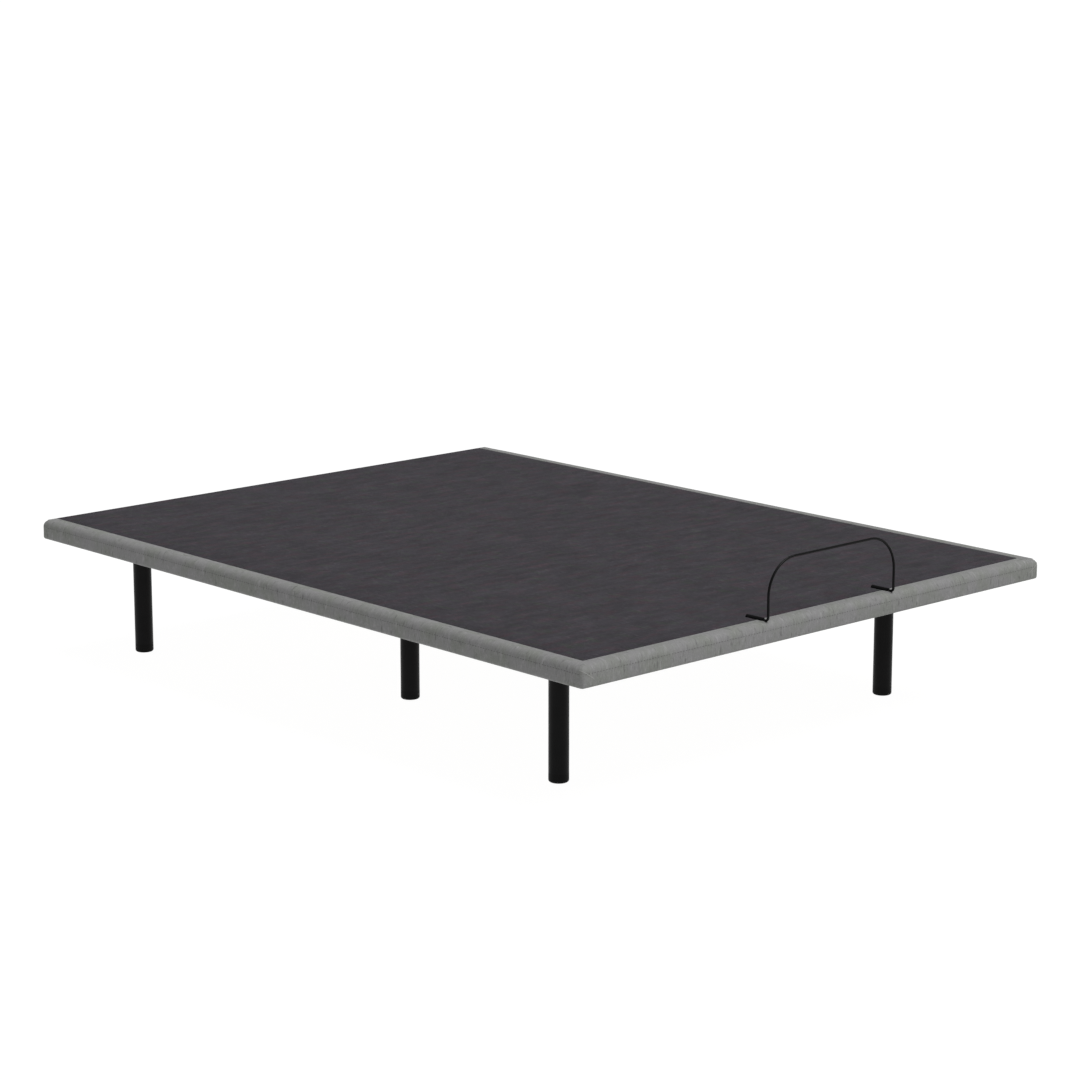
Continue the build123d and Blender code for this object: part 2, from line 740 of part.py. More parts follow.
# ================================================================ control box and its leads
box_width = 190.0
box_length = 86.0
box_height = 45.0
box_corner = 8.0
box_edge = 3.0
box_set_forward = 20.0
box_y = (hanger_y + plate + back_line - fold_board_gap) / 2 - box_set_forward
box_bottom = board_bottom - box_height
inlet_width = 30.0
inlet_height = 22.0
inlet_corner = 3.0
inlet_depth = 16.0
inlet_proud = 1.0
inlet_well = 13.0
inlet_pin_radius = 1.2
inlet_pin_x = 4.3
inlet_pin_length = 9.0
inlet_slot = (20.0, 9.0)
inlet_center = (box_y, box_bottom + box_height / 2)
with BuildPart() as control_box:
    with BuildSketch(Plane.XY.offset(box_bottom)):
        with Locations((0, box_y)):
            RectangleRounded(box_width, box_length, box_corner)
    extrude(amount=box_height)
    fillet(control_box.edges().group_by(Axis.Z)[0], box_edge)
    with BuildSketch(along_x(box_width / 2, *inlet_center)):
        RectangleRounded(inlet_width, inlet_height, inlet_corner)
    extrude(amount=-inlet_depth, mode=Mode.SUBTRACT)
save(control_box, "control_box")

with BuildPart() as inlet:
    with BuildSketch(along_x(box_width / 2 - inlet_depth, *inlet_center)):
        RectangleRounded(inlet_width - cap_fit, inlet_height - cap_fit, inlet_corner)
    extrude(amount=inlet_depth + inlet_proud)
    with BuildSketch(along_x(box_width / 2 + inlet_proud, *inlet_center)):
        SlotOverall(*inlet_slot)
    extrude(amount=-inlet_well, mode=Mode.SUBTRACT)
    with BuildSketch(along_x(box_width / 2 + inlet_proud - inlet_well, *inlet_center)):
        with Locations((-inlet_pin_x, 0), (inlet_pin_x, 0)):
            Circle(inlet_pin_radius)
    extrude(amount=inlet_pin_length)
save(inlet, "mains_inlet")

lead_radius = 3.0
lead_z_high = rail_bottom + 9.0
lead_z_low = push_z + 8.0
box_front = box_y - box_length / 2
box_back = box_y + box_length / 2
head_face = head_motor_y + gearbox_length / 2
foot_face = foot_motor_y - gearbox_length / 2
lead_routes = {
    "head_motor_lead": [
        (60, box_front, lead_z_high),
        (60, box_front - 55, lead_z_high),
        (68, -18, lead_z_high - 16),
        (84, -62, lead_z_high - 40),
        (100, -115, lead_z_low + 2),
        (112, -170, lead_z_low - 2),
        (124, -222, lead_z_low),
        (124, head_face, lead_z_low),
    ],
    "foot_motor_lead": [
        (-60, box_back, lead_z_high),
        (-60, box_back + 40, lead_z_high),
        (-76, box_back + 86, lead_z_high - 26),
        (-102, box_back + 132, lead_z_low + 3),
        (-124, box_back + 172, lead_z_low),
        (-124, foot_face, lead_z_low),
    ],
}


def bend_radii(points):
    """The largest arc that the two runs at each corner of a route leave room for."""
    radii = []
    for before, corner, after in zip(points, points[1:], points[2:]):
        run_in = Vector(*corner) - Vector(*before)
        run_out = Vector(*after) - Vector(*corner)
        turn = radians(run_in.get_angle(run_out))
        radii.append(0.45 * min(run_in.length, run_out.length) / tan(turn / 2))
    return radii


for name, points in lead_routes.items():
    radii = bend_radii(points)
    print(name, "bend radii", [round(radius) for radius in radii])
    with BuildPart() as lead:
        with BuildLine():
            route = FilletPolyline(*points, radius=radii)
        with BuildSketch(Plane(origin=route @ 0, z_dir=route % 0)):
            Circle(lead_radius)
        sweep(path=route)
    section = pi * lead_radius**2
    ratio = lead.part.volume / route.length / section
    print(name, "length", round(route.length), "volume ratio", round(ratio, 4))
    save(lead, name)

# ================================================================ retainer bar
left_x, right_x = socket_x
retainer_top = deck_height + retainer_rise - retainer_rod_radius
socket_end_wall = 2.0
socket_end_edge = 1.5
socket_stud_overlap = 0.5
socket_stud_root = socket_axis_z - socket_radius + socket_stud_overlap
with BuildPart() as retainer:
    with BuildLine():
        path = FilletPolyline(
            (left_x, socket_inner_y - socket_end_wall, socket_axis_z),
            (left_x, retainer_y, socket_axis_z),
            (left_x, retainer_y, retainer_top),
            (right_x, retainer_y, retainer_top),
            (right_x, retainer_y, socket_axis_z),
            (right_x, socket_inner_y - socket_end_wall, socket_axis_z),
            radius=[retainer_foot_bend, retainer_corner, retainer_corner, retainer_foot_bend],
        )
    with BuildSketch(Plane(origin=path @ 0, z_dir=path % 0)):
        Circle(retainer_rod_radius)
    sweep(path=path)
save(retainer, "retainer_bar")

with BuildPart() as sockets:
    with BuildSketch(along_y(0, socket_inner_y, socket_axis_z)):
        with Locations(*[(x, 0) for x in socket_x]):
            Circle(socket_radius)
    extrude(amount=-socket_length)
    fillet(sockets.edges().filter_by(GeomType.CIRCLE).group_by(Axis.Y)[-1], socket_end_edge)
    with BuildSketch(along_y(0, socket_inner_y - socket_length, socket_axis_z)):
        with Locations(*[(x, 0) for x in socket_x]):
            Circle(retainer_rod_radius + running_clearance)
    extrude(amount=socket_length - socket_end_wall + running_clearance, mode=Mode.SUBTRACT)
    with BuildSketch(Plane.XY.offset(socket_stud_root)):
        with Locations(*[(x, socket_stud_y) for x in socket_x]):
            Circle(socket_stud_radius)
    extrude(amount=board_bottom - socket_stud_root)
save(sockets, "retainer_sockets")
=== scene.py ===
import json
from math import atan2, pi, radians

import bpy
import numpy as np
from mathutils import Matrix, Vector, noise


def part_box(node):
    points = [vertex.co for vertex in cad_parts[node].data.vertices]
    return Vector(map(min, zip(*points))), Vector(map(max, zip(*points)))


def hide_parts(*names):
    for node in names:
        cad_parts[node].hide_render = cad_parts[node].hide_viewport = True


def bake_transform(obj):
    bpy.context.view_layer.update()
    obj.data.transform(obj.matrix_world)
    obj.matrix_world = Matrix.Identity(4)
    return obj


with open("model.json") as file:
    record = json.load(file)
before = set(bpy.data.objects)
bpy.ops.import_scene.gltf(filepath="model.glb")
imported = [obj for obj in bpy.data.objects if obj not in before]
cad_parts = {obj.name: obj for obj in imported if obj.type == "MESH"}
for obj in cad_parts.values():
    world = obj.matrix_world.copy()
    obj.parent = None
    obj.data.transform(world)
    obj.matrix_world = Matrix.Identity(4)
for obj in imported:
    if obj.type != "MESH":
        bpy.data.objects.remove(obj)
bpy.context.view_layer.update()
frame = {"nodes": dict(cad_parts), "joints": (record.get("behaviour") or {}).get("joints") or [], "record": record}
mm = 0.001
print("CAD nodes loaded")


def deselectAll():
    bpy.ops.object.select_all(action="DESELECT")


def makeActive(*objs):
    deselectAll()
    for obj in objs:
        obj.select_set(True)
    bpy.context.view_layer.objects.active = objs[0]


# Names the object that an operator has just added.
def takeNew(name):
    obj = bpy.context.object
    obj.name = name
    obj.data.name = name
    return obj


def placeInMesh():
    bpy.ops.object.transform_apply(location=True, rotation=True, scale=True)


# Selects the vertices, edges or faces that pass a test, and leaves the object in edit mode.
def pickInEdit(obj, kind, test):
    bpy.ops.object.mode_set(mode="OBJECT")
    mesh = obj.data
    for items in (mesh.vertices, mesh.edges, mesh.polygons):
        items.foreach_set("select", np.zeros(len(items), bool))
    points = mesh.vertices
    if kind == "EDGE":
        for edge in mesh.edges:
            edge.select = test(points[edge.vertices[0]].co, points[edge.vertices[1]].co)
    elif kind == "FACE":
        for face in mesh.polygons:
            face.select = test(face.center, face.normal)
    else:
        for point in points:
            point.select = test(point.co)
    bpy.context.tool_settings.mesh_select_mode = [kind == each for each in ("VERT", "EDGE", "FACE")]
    bpy.ops.object.mode_set(mode="EDIT")


def bisectAt(place, normal, **cut):
    bpy.ops.object.mode_set(mode="EDIT")
    bpy.ops.mesh.select_mode(type="FACE")
    bpy.ops.mesh.select_all(action="SELECT")
    bpy.ops.mesh.bisect(plane_co=place, plane_no=normal, **cut)


def leaveEdit():
    bpy.ops.object.mode_set(mode="OBJECT")


def near(value, target, room=0.2 * mm):
    return abs(value - target) < room


def applyModifier(obj, kind, **settings):
    makeActive(obj)
    modifier = obj.modifiers.new("step", kind)
    for key, value in settings.items():
        setattr(modifier, key, value)
    bpy.ops.object.modifier_apply(modifier=modifier.name)


cameraView = {
    "place": (-4.954, -5.431, 1.968),
    "turn": (77.635, 0.0, -42.648),
    "lens": 100.45,
    "sensor": 36,
    "farthest": 400,
}


def makeCamera():
    turn = [radians(angle) for angle in cameraView["turn"]]
    bpy.ops.object.camera_add(location=cameraView["place"], rotation=turn)
    camera = bpy.context.object
    camera.name = "mainCamera"
    camera.data.lens = cameraView["lens"]
    camera.data.sensor_width = cameraView["sensor"]
    camera.data.clip_end = cameraView["farthest"]
    bpy.context.scene.camera = camera


makeCamera()
print("camera placed")


def newMaterial(name, roughness, color=(0.5, 0.5, 0.5)):
    material = bpy.data.materials.new(name)
    material.use_nodes = True
    shader = material.node_tree.nodes["Principled BSDF"]
    shader.inputs["Roughness"].default_value = roughness
    shader.inputs["Base Color"].default_value = (*color, 1)
    return material, material.node_tree, shader


def addNode(tree, kind, inputs=None, **settings):
    node = tree.nodes.new("ShaderNode" + kind)
    for key, value in settings.items():
        setattr(node, key, value)
    for key, value in (inputs or {}).items():
        if isinstance(value, bpy.types.NodeSocket):
            tree.links.new(value, node.inputs[key])
        else:
            node.inputs[key].default_value = value
    return node


def coordsFor(tree, stretch, source="Object"):
    coords = addNode(tree, "TexCoord")
    return addNode(tree, "Mapping", {"Vector": coords.outputs[source], "Scale": stretch}).outputs[0]


def noiseOf(tree, vector, scale, detail=2.0, rough=0.5):
    inputs = {"Vector": vector, "Scale": scale, "Detail": detail, "Roughness": rough}
    return addNode(tree, "TexNoise", inputs).outputs["Fac"]


def spread(tree, value, low, high, toLow=0.0, toHigh=1.0):
    inputs = {"Value": value, "From Min": low, "From Max": high, "To Min": toLow, "To Max": toHigh}
    return addNode(tree, "MapRange", inputs).outputs[0]


# Noise rarely leaves this range, so it is stretched from there to the range that is wanted.
noiseReach = (0.3, 0.7)


def between(tree, value, low=0.0, high=1.0):
    return spread(tree, value, *noiseReach, low, high)


# A pattern is a noise scale, detail and roughness, then where it starts, is full, and its strength.
def flecksOf(tree, vector, pattern):
    scale, detail, rough, start, full, strength = pattern
    return spread(tree, noiseOf(tree, vector, scale, detail, rough), start, full, 0, strength)


def mathOf(tree, kind, first, second):
    return addNode(tree, "Math", {0: first, 1: second}, operation=kind).outputs[0]


def mixColors(tree, amount, first, second, kind="MIX"):
    node = addNode(tree, "Mix", data_type="RGBA", blend_type=kind)
    for index, value in ((0, amount), (6, first), (7, second)):
        if isinstance(value, bpy.types.NodeSocket):
            tree.links.new(value, node.inputs[index])
        else:
            node.inputs[index].default_value = value if index == 0 else (*value, 1)
    return node.outputs[2]


# Multiplies a colour by a grey value.
def dim(tree, color, value):
    grey = addNode(tree, "CombineColor", {0: value, 1: value, 2: value}).outputs[0]
    return mixColors(tree, 1.0, color, grey, "MULTIPLY")


def paint(tree, shader, color):
    tree.links.new(color, shader.inputs["Base Color"])


def addBump(tree, shader, height, depth, strength=1.0):
    bump = addNode(tree, "Bump", {"Height": height, "Distance": depth, "Strength": strength})
    tree.links.new(bump.outputs[0], shader.inputs["Normal"])


# A wave texture of scale 1 has 20 waves in 2 pi metres.
def waveScale(length):
    return 2 * pi / (20 * length)


weave = {"Distortion": 1.2, "Detail": 1.0, "Detail Scale": 0.5}


# Over and under threads: two crossed waves along the cloth's own UV map, which is in metres.
def weaveHeight(tree, thread):
    flat = coordsFor(tree, (1, 1, 1), "UV")
    waves = []
    for way in ("X", "Y"):
        inputs = {"Vector": flat, "Scale": waveScale(thread), **weave}
        wave = addNode(tree, "TexWave", inputs, wave_type="BANDS", bands_direction=way)
        waves.append(wave.outputs["Fac"])
    return mathOf(tree, "MULTIPLY", waves[0], waves[1])


topCloth = {
    "base": (0.0290, 0.0260, 0.0325),
    "plum": (0.0400, 0.0250, 0.0330),
    "moss": (0.0275, 0.0340, 0.0285),
    "slub": (0.0860, 0.0800, 0.0920),
    "shade": (0.0110, 0.0095, 0.0130),
    "thread": 1.4 * mm,
    "yarnStretch": 0.3,
    "plumPatches": (46, 3, 0.5, 0.50, 0.68, 0.9),
    "mossPatches": (52, 3, 0.5, 0.54, 0.72, 0.9),
    "shadeSlubs": (95, 3, 0.6, 0.56, 0.75, 0.55),
    "thickSlubs": (150, 3, 0.65, 0.56, 0.78, 0.5),
    "thinSlubs": (330, 3, 0.65, 0.52, 0.80, 0.45),
    "bumpDepth": 0.35 * mm,
}


# Charcoal cloth with uneven yarns: soft plum and moss patches, and pale and dark slubs.
def makeTopCloth():
    material, tree, shader = newMaterial("charcoalWeave", 0.95)
    stretch = topCloth["yarnStretch"]
    cloth = coordsFor(tree, (1, 1, 1), "UV")
    across = coordsFor(tree, (1, stretch, 1), "UV")
    along = coordsFor(tree, (stretch, 1, 1), "UV")
    plum = flecksOf(tree, across, topCloth["plumPatches"])
    moss = flecksOf(tree, along, topCloth["mossPatches"])
    color = mixColors(tree, plum, topCloth["base"], topCloth["plum"])
    color = mixColors(tree, moss, color, topCloth["moss"])
    color = mixColors(tree, flecksOf(tree, along, topCloth["shadeSlubs"]), color, topCloth["shade"])
    slubs = flecksOf(tree, along, topCloth["thickSlubs"])
    slubs = mathOf(tree, "ADD", slubs, flecksOf(tree, across, topCloth["thinSlubs"]))
    color = mixColors(tree, slubs, color, topCloth["slub"])
    color = dim(tree, color, between(tree, noiseOf(tree, cloth, 7, 3), 0.88, 1.12))
    color = dim(tree, color, between(tree, noiseOf(tree, across, 38, 4, 0.6), 0.76, 1.24))
    paint(tree, shader, color)
    height = mathOf(tree, "ADD", weaveHeight(tree, topCloth["thread"]), slubs)
    addBump(tree, shader, height, topCloth["bumpDepth"], 0.7)
    shader.inputs["Sheen Weight"].default_value = 0.05
    shader.inputs["Sheen Roughness"].default_value = 0.6
    shader.inputs["Specular IOR Level"].default_value = 0.15
    return material


borderCloth = {
    "base": (0.206, 0.205, 0.206),
    "pale": (0.352, 0.350, 0.348),
    "dark": (0.086, 0.087, 0.084),
    "moss": (0.186, 0.193, 0.178),
    "thread": 2.0 * mm,
    "yarnStretch": 0.3,
    "mossPatches": (16, 3, 0.5, 0.42, 0.62, 1.0),
    "ribs": (260, 3, 0.6, 0.50, 0.78, 0.42),
    "paleSlubs": (75, 2, 0.5, 0.60, 0.76, 0.34),
    "darkFlecks": (140, 2, 0.5, 0.60, 0.72, 0.6),
    "bumpDepth": 0.4 * mm,
}


# Heathered grey upholstery: short ribs over the edge, with pale and dark flecks of yarn.
def makeBorderCloth():
    material, tree, shader = newMaterial("heatherGrey", 0.92)
    cloth = coordsFor(tree, (1, 1, 1), "UV")
    ribWay = coordsFor(tree, (borderCloth["yarnStretch"], 1, 1), "UV")
    moss = flecksOf(tree, cloth, borderCloth["mossPatches"])
    color = mixColors(tree, moss, borderCloth["base"], borderCloth["moss"])
    ribs = flecksOf(tree, ribWay, borderCloth["ribs"])
    pale = mathOf(tree, "ADD", ribs, flecksOf(tree, ribWay, borderCloth["paleSlubs"]))
    color = mixColors(tree, pale, color, borderCloth["pale"])
    dark = flecksOf(tree, ribWay, borderCloth["darkFlecks"])
    color = mixColors(tree, dark, color, borderCloth["dark"])
    color = dim(tree, color, between(tree, noiseOf(tree, cloth, 420, 2, 0.6), 0.88, 1.10))
    paint(tree, shader, color)
    height = mathOf(tree, "ADD", weaveHeight(tree, borderCloth["thread"]), ribs)
    addBump(tree, shader, height, borderCloth["bumpDepth"], 0.8)
    shader.inputs["Sheen Weight"].default_value = 0.08
    shader.inputs["Sheen Roughness"].default_value = 0.5
    shader.inputs["Specular IOR Level"].default_value = 0.2
    return material


# A darker or lighter shade of a colour.
def shadeOf(color, factor):
    return [min(1, channel * factor) for channel in color]


# Satin powder coat: a fine orange-peel surface that varies a little in gloss and tone.
def makePowderCoat(name, color, roughness, shine=0.5):
    material, tree, shader = newMaterial(name, roughness, color)
    shader.inputs["Specular IOR Level"].default_value = shine
    place = coordsFor(tree, (1, 1, 1))
    gloss = between(tree, noiseOf(tree, place, 18, 3), roughness - 0.05, roughness + 0.07)
    tree.links.new(gloss, shader.inputs["Roughness"])
    tint = between(tree, noiseOf(tree, place, 45, 4))
    paint(tree, shader, mixColors(tree, tint, shadeOf(color, 0.82), shadeOf(color, 1.15)))
    addBump(tree, shader, noiseOf(tree, place, 900, 2), 0.04 * mm, 0.6)
    return material


plywood = {
    "pale": (0.62, 0.46, 0.28),
    "brown": (0.44, 0.29, 0.15),
    "pore": (0.30, 0.18, 0.09),
    "ply": (0.16, 0.09, 0.045),
    "plyPitch": 5 * mm,
    "grainStretch": 0.08,
    "plyStretch": 0.02,
}


# Sanded birch: the grain runs across the bed, and the edges show the plies.
def makePlywood():
    material, tree, shader = newMaterial("sandedPlywood", 0.6)
    grain = coordsFor(tree, (plywood["grainStretch"], 1, 1))
    broad = noiseOf(tree, grain, 14, 4, 0.6)
    fine = noiseOf(tree, grain, 160, 3, 0.6)
    color = mixColors(tree, between(tree, broad), plywood["brown"], plywood["pale"])
    color = mixColors(tree, spread(tree, fine, 0.45, 0.75, 0, 0.5), color, plywood["pore"])
    flat = coordsFor(tree, (plywood["plyStretch"], plywood["plyStretch"], 1))
    inputs = {"Vector": flat, "Scale": waveScale(plywood["plyPitch"])}
    layers = addNode(tree, "TexWave", inputs, bands_direction="Z").outputs["Fac"]
    normal = addNode(tree, "NewGeometry").outputs["Normal"]
    upright = addNode(tree, "SeparateXYZ", {0: normal}).outputs[2]
    edgeOnly = spread(tree, mathOf(tree, "ABSOLUTE", upright, 0.0), 0.3, 0.5, 1, 0)
    dark = mathOf(tree, "MULTIPLY", edgeOnly, spread(tree, layers, 0.4, 0.6, 0, 0.45))
    paint(tree, shader, mixColors(tree, dark, color, plywood["ply"]))
    addBump(tree, shader, fine, 0.1 * mm, 0.5)
    return material


# Moulded plastic or rubber with a fine grain.
def makeMoulded(name, color, roughness, grainSize=700, shine=0.5):
    material, tree, shader = newMaterial(name, roughness, color)
    shader.inputs["Specular IOR Level"].default_value = shine
    place = coordsFor(tree, (1, 1, 1))
    shade = between(tree, noiseOf(tree, place, 30, 3))
    paint(tree, shader, mixColors(tree, shade, shadeOf(color, 0.85), shadeOf(color, 1.12)))
    addBump(tree, shader, noiseOf(tree, place, grainSize, 2), 0.05 * mm, 0.6)
    return material


# Ground or plated steel, with fine lines along its length.
def makeBrightMetal(name, color, roughness, stretch=(1, 0.05, 1)):
    material, tree, shader = newMaterial(name, roughness, color)
    shader.inputs["Metallic"].default_value = 1.0
    lines = noiseOf(tree, coordsFor(tree, stretch), 900, 3)
    worn = between(tree, lines, roughness - 0.08, roughness + 0.1)
    tree.links.new(worn, shader.inputs["Roughness"])
    cloudy = between(tree, noiseOf(tree, coordsFor(tree, (1, 1, 1)), 40, 3))
    paint(tree, shader, mixColors(tree, cloudy, shadeOf(color, 0.85), color))
    addBump(tree, shader, lines, 0.02 * mm, 0.4)
    return material


# Twisted sewing thread.
def makeThread(name, color):
    material, tree, shader = newMaterial(name, 0.85, color)
    fibres = noiseOf(tree, coordsFor(tree, (1, 1, 1), "UV"), 1500, 2)
    paint(tree, shader, mixColors(tree, fibres, shadeOf(color, 0.7), shadeOf(color, 1.3)))
    addBump(tree, shader, fibres, 0.1 * mm, 0.8)
    return material


slotMaterials = {
    "plywood": makePlywood(),
    "frame_paint": makePowderCoat("frameBlack", (0.0085, 0.0085, 0.0090), 0.42, 0.2),
    "leg_paint": makePowderCoat("legBlack", (0.0042, 0.0042, 0.0044), 0.36, 0.08),
    "retainer_paint": makePowderCoat("retainerBlack", (0.0045, 0.0045, 0.0048), 0.4, 0.1),
    "tube_paint": makePowderCoat("tubeGrey", (0.055, 0.056, 0.060), 0.4),
    "motor_can": makePowderCoat("motorGrey", (0.090, 0.092, 0.098), 0.35),
    "black_plastic": makeMoulded("glideBlack", (0.0040, 0.0040, 0.0040), 0.5, 700, 0.08),
    "black_rubber": makeMoulded("bumperRubber", (0.018, 0.018, 0.018), 0.85, 400),
    "housing_plastic": makeMoulded("housingBlack", (0.028, 0.029, 0.031), 0.55),
    "socket_paint": makeMoulded("socketBlack", (0.0045, 0.0045, 0.0048), 0.6, 700, 0.1),
    "lead_sheath": makeMoulded("leadSheath", (0.014, 0.014, 0.014), 0.5, 300),
    "white_nylon": makeMoulded("turnedNylon", (0.78, 0.77, 0.72), 0.4, 500),
    "push_steel": makeBrightMetal("groundSteel", (0.60, 0.60, 0.61), 0.25),
    "zinc_hardware": makeBrightMetal("zincPlate", (0.66, 0.66, 0.64), 0.32, (1, 1, 1)),
}
coverMaterials = [
    makeTopCloth(),
    makeBorderCloth(),
    makeThread("darkThread", (0.050, 0.052, 0.048)),
    makeThread("paleThread", (0.30, 0.30, 0.29)),
    slotMaterials["zinc_hardware"],
]
topSlot, borderSlot, darkSlot, paleSlot, stapleSlot = range(5)
print("materials made")


def dressNodes():
    for entry in frame["record"]["subparts"]:
        material = slotMaterials.get(entry["material_slot"])
        if material:
            for holder in frame["nodes"][entry["node"]].material_slots:
                holder.material = material


dressNodes()
print("CAD nodes dressed")

# The deck cover starts as one slab the size of the whole deck, and is cut into three lengths.
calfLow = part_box("calf_pad")[0]
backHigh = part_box("back_pad")[1]
boardLow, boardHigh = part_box("back_board")
halfWidth = backHigh.x
headEnd = backHigh.y
footEnd = calfLow.y
deckTop = backHigh.z
jointPlace = {joint["name"]: joint.get("pos_m") for joint in frame["joints"]}
backLine = jointPlace["back_lift"][1]
thighLine = jointPlace["thigh_lift"][1]
kneeLine = jointPlace["calf_fold"][1]

cover = {
    "border": 36.6 * mm,
    "edgeRadius": 17.5 * mm,
    "edgeSegments": 8,
    "cornerRadius": 8 * mm,
    "cornerSegments": 4,
    "hemRadius": 6 * mm,
    "hemSegments": 3,
    "flap": 45 * mm,
    "flapDrop": 0.8 * mm,
    "boardGap": 0.3 * mm,
    "seamDepth": 1.5 * mm,
    "seamHalf": 2.5 * mm,
    "seamRoom": 4 * mm,
    "rowStep": 30 * mm,
    "headRoom": 20 * mm,
    "foldStep": 5 * mm,
    "foldRoom": 6 * mm,
    "columnStep": 66 * mm,
    "hingeRelief": 17.5 * mm,
    "reliefHalf": 38 * mm,
    "mitreTip": 1.5 * mm,
    "smoothAngle": 40,
}
folds = {"back": (backLine, 45 * mm), "thigh": (thighLine, 30 * mm), "knee": (kneeLine, 27 * mm)}
hem = boardLow.z - cover["flapDrop"]
ceiling = boardHigh.z + cover["boardGap"]
seamX = halfWidth - cover["border"]
seamY = footEnd + cover["border"]
rollStart = deckTop - cover["edgeRadius"]
hair = 0.1 * mm
longEdge = 100 * mm


# Cuts across the deck: wide apart on the flat panels and close together at the folds.
def rowPlaces():
    step = cover["rowStep"]
    rows = list(np.arange(footEnd + step, headEnd - cover["headRoom"], step))
    for line, half in folds.values():
        rows = [y for y in rows if abs(y - line) > half + cover["foldRoom"]]
        rows += list(np.arange(line - half, line + half + 1 * mm, cover["foldStep"]))
    seams = [seamY - cover["seamHalf"], seamY, seamY + cover["seamHalf"]]
    return [y for y in rows if abs(y - seamY) > cover["seamRoom"]] + seams


def columnPlaces():
    count = int(seamX / cover["columnStep"])
    columns = [seamX * step / count for step in range(-count + 1, count)]
    for side in (-1, 1):
        for offset in (-cover["seamHalf"], 0, cover["seamHalf"]):
            columns.append(side * (seamX + offset))
    return columns


# The line where the dark top is sewn to the grey border.
def onTopSeam(point):
    if not near(point.z, deckTop):
        return False
    alongSide = near(abs(point.x), seamX) and point.y > seamY - hair
    alongFoot = near(point.y, seamY) and abs(point.x) < seamX + hair
    return alongSide or alongFoot


# The underside over a fold line, which is raised to clear the hinge eyes.
def overHinge(point):
    if not near(point.z, ceiling):
        return False
    return any(abs(point.y - line) < cover["reliefHalf"] for line, half in folds.values())


# The upright corner edges and the mitres above them, but not the shallow tip of each mitre.
def onMitre(point):
    inX = halfWidth - abs(point.x)
    inY = headEnd - point.y if point.y > 0 else point.y - footEnd
    return near(inX, inY) and point.z < deckTop - cover["mitreTip"]


def makeDeck():
    middle = (0, (headEnd + footEnd) / 2, (deckTop + hem) / 2)
    size = (2 * halfWidth, headEnd - footEnd, deckTop - hem)
    deselectAll()
    bpy.ops.mesh.primitive_cube_add(size=1, location=middle, scale=size)
    deck = takeNew("deckCover")
    placeInMesh()
    pickInEdit(deck, "EDGE", lambda a, b: near(a.z, deckTop) and near(b.z, deckTop))
    bpy.ops.mesh.bevel(offset=cover["edgeRadius"], segments=cover["edgeSegments"], affect="EDGES")
    pickInEdit(deck, "EDGE", lambda a, b: onMitre(a) and onMitre(b) and (a - b).length < longEdge)
    segments = cover["cornerSegments"]
    bpy.ops.mesh.bevel(offset=cover["cornerRadius"], segments=segments, affect="EDGES")
    pickInEdit(deck, "EDGE", lambda a, b: near(a.z, hem) and near(b.z, hem))
    bpy.ops.mesh.bevel(offset=cover["hemRadius"], segments=cover["hemSegments"], affect="EDGES")
    pickInEdit(deck, "FACE", lambda center, normal: near(center.z, hem) and normal.z < -0.999)
    bpy.ops.mesh.inset(thickness=cover["flap"])
    bpy.ops.mesh.extrude_region_move(TRANSFORM_OT_translate={"value": (0, 0, ceiling - hem)})
    for y in rowPlaces():
        bisectAt((0, y, 0), (0, 1, 0))
    for x in columnPlaces():
        bisectAt((x, 0, 0), (1, 0, 0))
    pickInEdit(deck, "VERT", onTopSeam)
    bpy.ops.transform.translate(value=(0, 0, -cover["seamDepth"]))
    pickInEdit(deck, "VERT", overHinge)
    bpy.ops.transform.translate(value=(0, 0, cover["hingeRelief"]))
    leaveEdit()
    return deck


# Where a point lies on the cloth before it was wrapped over the edges at low and high.
def unroll(value, low, high, z):
    radius = cover["edgeRadius"]
    side = 1 if value > (low + high) / 2 else -1
    inner = (high if side > 0 else low) - side * radius
    beyond = (value - inner) * side
    if beyond <= 0:
        return value
    down = rollStart - z
    if down > 0:
        return inner + side * (radius * pi / 2 + down)
    return inner + side * radius * atan2(beyond, -down)


# A UV map in metres that follows the cloth over the edges, so that the weave isn't stretched.
def mapCloth(obj):
    mesh = obj.data
    layer = mesh.uv_layers[0] if mesh.uv_layers else mesh.uv_layers.new()
    layer.name = "cloth"
    for face in mesh.polygons:
        towardsX = abs(face.normal.x) > abs(face.normal.y)
        for corner in face.loop_indices:
            point = mesh.vertices[mesh.loops[corner].vertex_index].co
            if towardsX:
                place = (unroll(point.x, -halfWidth, halfWidth, point.z), point.y)
            else:
                place = (unroll(point.y, footEnd, headEnd, point.z), point.x)
            layer.data[corner].uv = place


def setMaterials(obj, slotOf):
    obj.data.materials.clear()
    for material in coverMaterials:
        obj.data.materials.append(material)
    for face in obj.data.polygons:
        face.material_index = slotOf(face.center)


# The grey border is on both long sides and round the foot end.
def clothSlot(center):
    return borderSlot if abs(center.x) > seamX or center.y < seamY else topSlot


unevenness = {
    "swell": 0.6 * mm,
    "beyondSeam": 6 * mm,
    "broadScale": (5, 5, 14),
    "smallScale": (17, 17, 40),
    "smallShare": 0.5,
    "upShare": 0.4,
}


def noiseAt(place, scale):
    return noise.noise(Vector([value * factor for value, factor in zip(place, scale)]))


# A slight unevenness in the foam and cloth of the edge bands.
def loosenCloth(obj):
    edgeX, edgeY = seamX + unevenness["beyondSeam"], seamY - unevenness["beyondSeam"]
    for point in obj.data.vertices:
        place = point.co
        outX = 1 if place.x > edgeX else -1 if place.x < -edgeX else 0
        outY = -1 if place.y < edgeY else 0
        if outX or outY:
            broad = noiseAt(place, unevenness["broadScale"])
            small = noiseAt(place, unevenness["smallScale"])
            swell = unevenness["swell"] * (broad + unevenness["smallShare"] * small)
            point.co += Vector((outX, outY, unevenness["upShare"])) * swell


